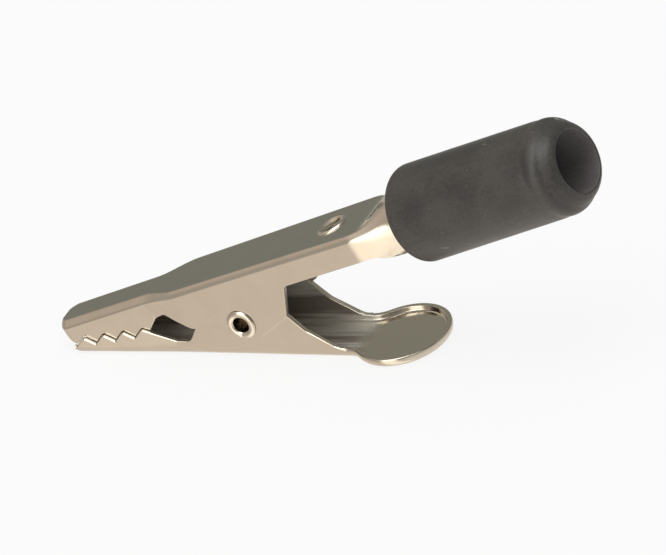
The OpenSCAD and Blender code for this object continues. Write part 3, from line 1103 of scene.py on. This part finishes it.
@dataclass
class TerminalScrew:
    """The slotted countersunk screw that clamps the lead under the roof.

    Its heights are square to the roof, above the pivot. Its rim rises from a shallow moat round the face.
    """

    along: float = 13.4
    roof_h: float = 5.25
    head_r: float = 1.33
    head_seat: float = 0.003
    crown_h: float = 0.03
    flat_r: float = 0.9
    flat_h: float = 0.01
    moat_r: float = 1.0
    moat_d: float = 0.02
    rim_inner_r: float = 1.28
    rim_crest_r: float = 1.36
    rim_outer_r: float = 1.41
    rim_r: float = 1.55
    rim_h: float = 0.22
    rim_round: float = 0.02
    rim_wall: float = 0.05
    rim_foot_r: float = 1.57
    rim_seat: float = 0.005
    shank_r: float = 0.66
    neck_h: float = 0.1
    thread_r: float = 0.78
    thread_half: float = 0.14
    thread_root: float = 0.05
    thread_free: float = 0.4
    thread_steps: int = 240
    pitch: float = 0.38
    foot: float = 2.6
    foot_h: float = 0.2
    foot_taper: float = 0.15
    slot_w: float = 0.46
    slot_d: float = 0.3
    slot_end: float = 0.2
    slot_round: float = 0.03
    slot_round_steps: int = 2
    slot_round_angle: float = 40.0
    slot_turn: float = 75.0
    smooth_angle: float = 30.0
    split_angle: float = 35.0

    def neck(self) -> float:
        """Returns the height at which the countersunk head meets the shank."""
        return self.roof_h - (self.head_r - self.thread_r)

    def profile(self) -> list:
        """Returns the outline of head, raised rim, shank and foot, as (height, radius)."""
        top = self.roof_h
        crest = top + self.rim_h
        return [
            (top + self.crown_h, 0.0),
            (top + self.flat_h, self.flat_r),
            (top - self.moat_d, self.moat_r),
            (crest - self.rim_round, self.rim_inner_r),
            (crest, self.rim_crest_r),
            (crest - self.rim_round, self.rim_outer_r),
            (top + self.rim_wall, self.rim_r),
            (top + self.rim_seat, self.rim_foot_r),
            (top + self.head_seat, self.head_r),
            (self.neck(), self.thread_r),
            (self.neck() - self.neck_h, self.shank_r),
            (self.foot + self.foot_h, self.shank_r),
            (self.foot, self.shank_r - self.foot_taper),
            (self.foot, 0.0),
        ]

    def thread(self, finish: Material) -> Piece:
        """Makes the thread round the shank with Geometry Nodes.

        Args:
            finish: Its finish.

        Returns:
            The thread.
        """
        root = self.shank_r - self.thread_root
        corners = [(root, -self.thread_half, 0.0), (self.thread_r, 0.0, 0.0), (root, self.thread_half, 0.0)]
        source = curve_object("thread_profile", corners, cyclic=True)
        tree = NodeTree("screw_thread")
        turns = tree.size("Turns", "Float", (self.neck() - self.foot - self.thread_free) / self.pitch)
        pitch = tree.size("Pitch", "Float", self.pitch * MM)
        steps = tree.size("Steps", "Int", self.thread_steps)
        nodes = tree.nodes
        grid, row, corner = tree.grid(nodes.math("ADD", steps, 1), len(corners) + 1)
        turned = nodes.math("MULTIPLY", nodes.math("DIVIDE", row, steps), turns)
        point = tree.outline_point(nodes.math("MODULO", corner, len(corners)))
        angle = nodes.math("MULTIPLY", turned, 2 * math.pi)
        height = nodes.math("ADD", point["Y"], nodes.math("MULTIPLY", turned, pitch))
        tree.bend(grid, *tree.turned(point["X"], angle), height, finish)
        piece = tree.make("screw_thread", source, self.smooth_angle)
        piece.data.transform(Matrix.Translation(Vector((0, 0, self.foot + self.foot_h)) * MM))
        return piece

    def slot_cutter(self) -> Piece:
        """Makes the block that cuts the slot."""
        size = Vector((2 * (self.head_r - self.slot_end), self.slot_w, 1.0)) * MM
        middle = Vector((0, 0, (self.roof_h - self.slot_d) * MM + size.z / 2))
        turn = Matrix.Rotation(math.radians(self.slot_turn), 4, "Z")
        mesh = bpy.data.meshes.new("slot_cutter")
        shape = bmesh.new()
        place = turn @ Matrix.Translation(middle) @ Matrix.Diagonal((*size, 1))
        bmesh.ops.create_cube(shape, size=1.0, matrix=place)
        shape.to_mesh(mesh)
        shape.free()
        return new_piece("slot_cutter", mesh, [])

    def build(self, finish: Material) -> Piece:
        """Makes the screw.

        Args:
            finish: Its finish.

        Returns:
            The screw.
        """
        upright = Matrix.Rotation(math.radians(-90.0), 4, "Y")
        lathe = TurnedPiece("terminal_screw_slotted", steps=96, smooth_angle=self.smooth_angle)
        piece = lathe.turn(self.profile(), upright, finish)
        cutter = self.slot_cutter()
        cut = piece.modifiers.new("slot", "BOOLEAN")
        cut.operation, cut.solver, cut.object = "DIFFERENCE", "EXACT", cutter
        bevel = piece.modifiers.new("slot_edges", "BEVEL")
        bevel.width, bevel.segments = self.slot_round * MM, self.slot_round_steps
        bevel.angle_limit = math.radians(self.slot_round_angle)
        apply_modifiers(piece)
        bpy.data.objects.remove(cutter)
        join_into(piece, self.thread(finish))
        piece.data.materials.clear()
        piece.data.materials.append(finish)
        piece.data.transform(roof_matrix() @ Matrix.Translation(Vector((self.along, 0, 0)) * MM))
        piece.data.set_sharp_from_angle(angle=math.radians(self.split_angle))
        settle(piece, Body.UPPER, "terminal_screw")
        return piece


def join_into(piece: Piece, other: Piece) -> None:
    """Adds another object's mesh to a piece's mesh and removes the other object.

    Args:
        piece: The piece that stays.
        other: The object whose faces it takes.
    """
    shape = bmesh.new()
    shape.from_mesh(piece.data)
    shape.from_mesh(other.data)
    for face in shape.faces:
        face.material_index = 0
        face.smooth = True
    shape.to_mesh(piece.data)
    shape.free()
    bpy.data.objects.remove(other)


@dataclass
class InsulatingSleeve:
    """The black sleeve: a moulded tube on the barrel, with a rounded lip round its open mouth.

    The bead and the dip on the lip are placed by their share of its length. The groove lies before the lip.
    """

    front: float = 22.9
    length: float = 20.05
    axis_h: float = 3.7
    front_r: float = 4.8
    rear_r: float = 4.79
    grip_r: float = 3.15
    mouth_r: float = 3.08
    mouth_edge_r: float = 0.16
    mouth_edge_share: float = 0.9
    mouth_step: float = 1.0
    stop: float = 31.3
    front_edge_r: float = 1.0
    lip_length: float = 2.7
    lip_over: float = 0.65
    lip_curve: float = 2.1
    bead_h: float = 0.10
    bead_at: float = 0.88
    bead_w: float = 0.12
    dip_h: float = 0.07
    dip_at: float = 0.55
    groove_at: float = 3.0
    groove_w: float = 0.45
    groove_d: float = 0.06
    skin: float = 0.3
    bore_reach: float = 0.02
    corner_steps: int = 14
    wall_steps: int = 160
    lip_steps: int = 32
    steps_round: int = 160

    def profile(self) -> list:
        """Returns the closed outline, as (distance behind the pivot, radius)."""
        lip = self.front + self.length + self.lip_over
        bend = Vector((lip - self.lip_length, self.rear_r))
        outline = rounded([
            (self.front, self.grip_r, 0.0),
            (self.front, self.front_r, self.front_edge_r),
            (bend.x, bend.y, 0.0),
            (lip, self.mouth_r + self.mouth_edge_r, 0.0),
            (lip, self.mouth_r, self.mouth_edge_r * self.mouth_edge_share),
            (lip - self.mouth_step, self.mouth_r, 0.0),
            (self.stop, self.mouth_r, 0.0),
            (self.stop, self.grip_r, 0.0),
        ], steps=self.corner_steps)
        points = []
        for k, point in enumerate(outline):
            following = outline[(k + 1) % len(outline)]
            points.append(point)
            if following == bend:
                points += [point.lerp(bend, i / self.wall_steps) for i in range(1, self.wall_steps)]
            if point == bend:
                points += [self.lip_point(bend, i / self.lip_steps) for i in range(1, self.lip_steps)]
        return [(p.x, p.y - self.groove(p.x, p.y)) for p in points]

    def lip_point(self, bend: Vector, share: float) -> Vector:
        """Returns a point of the rounded lip.

        Args:
            bend: Where the lip begins, as distance behind the pivot and radius.
            share: Part of the lip's length that lies before the point.
        """
        drop = bend.y - self.mouth_r - self.mouth_edge_r
        bead = self.bead_h * math.exp(-(((share - self.bead_at) / self.bead_w) ** 2))
        dip = self.dip_h * math.exp(-(((share - self.dip_at) / self.bead_w) ** 2))
        return bend + Vector((self.lip_length * share, bead - dip - drop * share ** self.lip_curve))

    def groove(self, along: float, radius: float) -> float:
        """Returns the depth of the shallow groove before the lip, which is 0 but on the outside.

        Args:
            along: Distance behind the pivot.
            radius: Distance from the sleeve's axis.
        """
        if radius < self.rear_r - self.skin:
            return 0.0
        off = (along - (self.front + self.length + self.lip_over - self.groove_at)) / self.groove_w
        return self.groove_d * math.exp(-off * off)

    def build(self, finish: Material, bore_with_painted_light: Material) -> Piece:
        """Makes the sleeve.

        Args:
            finish: Its finish outside.
            bore_with_painted_light: Its finish inside the mouth.

        Returns:
            The sleeve.
        """
        place = roof_matrix() @ Matrix.Translation(Vector((0, 0, self.axis_h)))
        lathe = TurnedPiece("black_sleeve", steps=self.steps_round, smooth_angle=45.0)
        piece = lathe.turn(self.profile(), place, finish)
        # The faces inside the mouth take the lighter plastic, painted light for the shaded bore
        piece.data.materials.append(bore_with_painted_light)
        inside = len(piece.data.materials) - 1
        level = roof_matrix().inverted()
        for face in piece.data.polygons:
            middle = level @ face.center / MM
            if math.hypot(middle.y, middle.z - self.axis_h) < self.mouth_r + self.bore_reach:
                face.material_index = inside
        settle(piece, Body.UPPER, "insulating_sleeve")
        return piece


@dataclass
class Clip:
    """The whole clip, dressed piece by piece."""

    finishes: Finishes

    def build(self) -> None:
        """Builds every piece, each on its body but the spring."""
        finishes = self.finishes
        upper = PressedSheet(
            "upper_jaw",
            "upper_jaw_pressed",
            Body.UPPER,
            tilt=ROOF_TILT,
            edge_round=0.04,
            calm_from=-9.6,
            calm_to=-7.4,
            middle_h=2.2,
            middle_climb=0.15,
            nose_flare=0.3,
        )
        lower = PressedSheet("lower_jaw", "lower_jaw_pressed", Body.LOWER)
        upper.build(finishes.roof_sheet, finishes.cut_edge, finishes.roof_inside)
        lower.build(finishes.base_sheet, finishes.cut_edge, finishes.base_inside)
        HollowRivet().build(finishes.turned)
        TorsionSpring().build(finishes.wire)
        TerminalScrew().build(finishes.turned)
        InsulatingSleeve().build(finishes.plastic, finishes.bore_with_painted_light)


@dataclass
class Studio:
    """The pale table, the soft lamp, the room that the plate mirrors, and the camera.

    The room and the window are colours by height, from 0 straight down to 1 straight up. A fade or an edge
    is the pair of shares along its axis between which one passes into the other.
    """

    look_at: Vector = field(default_factory=lambda: Vector((6.137, 4.494, 0.046)))
    back: Vector = field(default_factory=lambda: Vector((0.5154, -0.71, 0.4823)))
    up: Vector = field(default_factory=lambda: Vector((-0.0041, 0.56, 0.8302)))
    distance: float = 2300.0
    frame_w: float = 63.0
    nearest: float = 50.0
    farthest: float = 40000.0
    table_z: float = -4.05
    table_drop: float = 0.01
    table_half: float = 1500.0
    paper: float = 0.86
    glow_share: float = 0.86
    daylight: float = 0.66
    front_axis: tuple = (-0.766, -0.643, 0.0)
    window_axis: tuple = (-0.259, -0.966, 0.0)
    window_side: tuple = (0.966, -0.259, 0.0)
    front_fade: tuple = (0.1, 0.45)
    window_fade: tuple = (0.02, 0.2)
    window_edge: tuple = (0.2, 0.36)
    front_room: tuple = (
        (0.0, (0.88, 0.82, 0.75)),
        (0.15, (0.82, 0.73, 0.64)),
        (0.26, (0.78, 0.69, 0.60)),
        (0.34, (0.53, 0.49, 0.44)),
        (0.42, (0.45, 0.42, 0.38)),
        (0.55, (0.46, 0.42, 0.37)),
        (0.67, (0.50, 0.44, 0.38)),
        (0.75, (0.58, 0.50, 0.43)),
        (0.84, (0.74, 0.66, 0.58)),
        (1.0, (0.80, 0.76, 0.70)),
    )
    back_room: tuple = (
        (0.0, (0.88, 0.82, 0.75)),
        (0.2, (0.90, 0.84, 0.78)),
        (0.42, (0.60, 0.58, 0.52)),
        (0.5, (0.26, 0.27, 0.235)),
        (0.56, (0.232, 0.24, 0.21)),
        (0.75, (0.275, 0.275, 0.235)),
        (0.86, (0.29, 0.27, 0.235)),
        (1.0, (0.60, 0.58, 0.54)),
    )
    window: tuple = (
        (0.0, (1.38, 1.30, 1.14)),
        (0.3, (1.56, 1.40, 1.20)),
        (0.45, (1.95, 1.83, 1.61)),
        (0.6, (2.30, 2.27, 2.13)),
        (1.0, (2.30, 2.31, 2.24)),
    )

    def camera(self) -> None:
        """Sets the camera at the photograph's angle."""
        data = bpy.data.cameras.new("camera")
        data.type = "PERSP"
        data.sensor_width = 36.0
        data.lens = data.sensor_width * self.distance / self.frame_w
        data.clip_start, data.clip_end = self.nearest * MM, self.farthest * MM
        camera = add_object("camera", data)
        back = self.back.normalized()
        right = self.up.cross(back).normalized()
        up = back.cross(right)
        turn = Matrix((right, up, back)).transposed().to_4x4()
        camera.matrix_world = Matrix.Translation((self.look_at + back * self.distance) * MM) @ turn
        bpy.context.scene.camera = camera

    def table(self) -> None:
        """Lays the pale table under the clip: white to the camera, and unseen by mirrored rays."""
        mesh = bpy.data.meshes.new("table")
        shape = bmesh.new()
        bmesh.ops.create_grid(shape, x_segments=4, y_segments=4, size=self.table_half * MM)
        bmesh.ops.translate(shape, verts=shape.verts, vec=(0, 0, (self.table_z - self.table_drop) * MM))
        shape.to_mesh(mesh)
        shape.free()
        material = bpy.data.materials.new("pale_table")
        material.use_nodes = True
        nodes = Nodes(material.node_tree)
        paper = nodes.add("ShaderNodeBsdfDiffuse")
        paper.inputs["Color"].default_value = (self.paper, self.paper, self.paper, 1)
        glow = nodes.add("ShaderNodeEmission")
        glow.inputs["Strength"].default_value = 1.0
        clear = nodes.add("ShaderNodeBsdfTransparent")
        seen, mirrored = nodes.seen_or_mirrored()
        share = nodes.math("MULTIPLY", seen, self.glow_share)
        top = nodes.mix_shaders(share, paper.outputs["BSDF"], glow.outputs["Emission"])
        out = nodes.add("ShaderNodeOutputMaterial")
        nodes.link(nodes.mix_shaders(mirrored, top, clear.outputs["BSDF"]), out.inputs["Surface"])
        floor = new_piece("table", mesh, [material])

    def world(self) -> None:
        """Sets the white background, the plain daylight and the soft room that the plate mirrors."""
        world = bpy.data.worlds.new("studio")
        bpy.context.scene.world = world
        world.use_nodes = True
        nodes = Nodes(world.node_tree)
        plain, white, mirror = (nodes.add("ShaderNodeBackground") for _ in range(3))
        for light, strength in ((plain, self.daylight), (white, 1.0)):
            light.inputs["Color"].default_value = (1, 1, 1, 1)
            light.inputs["Strength"].default_value = strength
        nodes.link(self.room(nodes), mirror.inputs["Color"])
        seen, mirrored = nodes.seen_or_mirrored()
        unseen = nodes.mix_shaders(mirrored, plain.outputs[0], mirror.outputs[0])
        out = nodes.add("ShaderNodeOutputWorld")
        nodes.link(nodes.mix_shaders(seen, unseen, white.outputs[0]), out.inputs["Surface"])

    def room(self, nodes: Nodes) -> Socket:
        """Adds the colours of the mirrored room: darker behind, paler in front, with a tall window.

        Args:
            nodes: The world's nodes.

        Returns:
            The colour by direction.
        """
        direction = nodes.add("ShaderNodeTexCoord").outputs["Generated"]
        rise = nodes.dot(direction, (0.0, 0.0, 1.0))
        height = nodes.math("ADD", nodes.math("MULTIPLY", rise, 0.5), 0.5)
        behind = nodes.gradient(height, self.back_room)
        in_front = nodes.gradient(height, self.front_room)
        to_front = nodes.ramp(nodes.dot(direction, self.front_axis), *self.front_fade)
        walls = nodes.mix(to_front, behind, in_front)
        to_window = nodes.ramp(nodes.dot(direction, self.window_axis), *self.window_fade)
        aside = nodes.math("ABSOLUTE", nodes.dot(direction, self.window_side))
        share = nodes.math("MULTIPLY", nodes.ramp(aside, *self.window_edge, 1.0, 0.0), to_window)
        return nodes.mix(share, walls, nodes.gradient(height, self.window))

    def lamp(self, name: str, direction: tuple, size: float, distance: float, radiance: float) -> None:
        """Hangs one soft square lamp.

        Args:
            name: Its name.
            direction: From the clip towards the lamp.
            size: Its side.
            distance: Its distance from the origin.
            radiance: How bright its face is, where 1 is white.
        """
        data = bpy.data.lights.new(name, "AREA")
        data.shape = "SQUARE"
        data.size = size * MM
        data.energy = radiance * math.pi * data.size ** 2
        lamp = add_object(name, data)
        away = Vector(direction).normalized()
        turn = away.to_track_quat("Z", "Y").to_matrix().to_4x4()
        lamp.matrix_world = Matrix.Translation(away * distance * MM) @ turn

    def build(self) -> None:
        """Sets the whole studio up."""
        self.table()
        self.world()
        self.lamp("overhead_softbox", direction=(0.1, -0.1, 1.0), size=500.0, distance=700.0, radiance=1.7)
        self.camera()
        bpy.context.scene.view_settings.view_transform = "Standard"


def main() -> None:
    """Builds the studio and the clip."""
    logging.basicConfig(level=logging.INFO, format="%(name)s: %(message)s")
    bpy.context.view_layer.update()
    Studio().build()
    Clip(Finishes()).build()


if __name__ == "__main__":
    main()
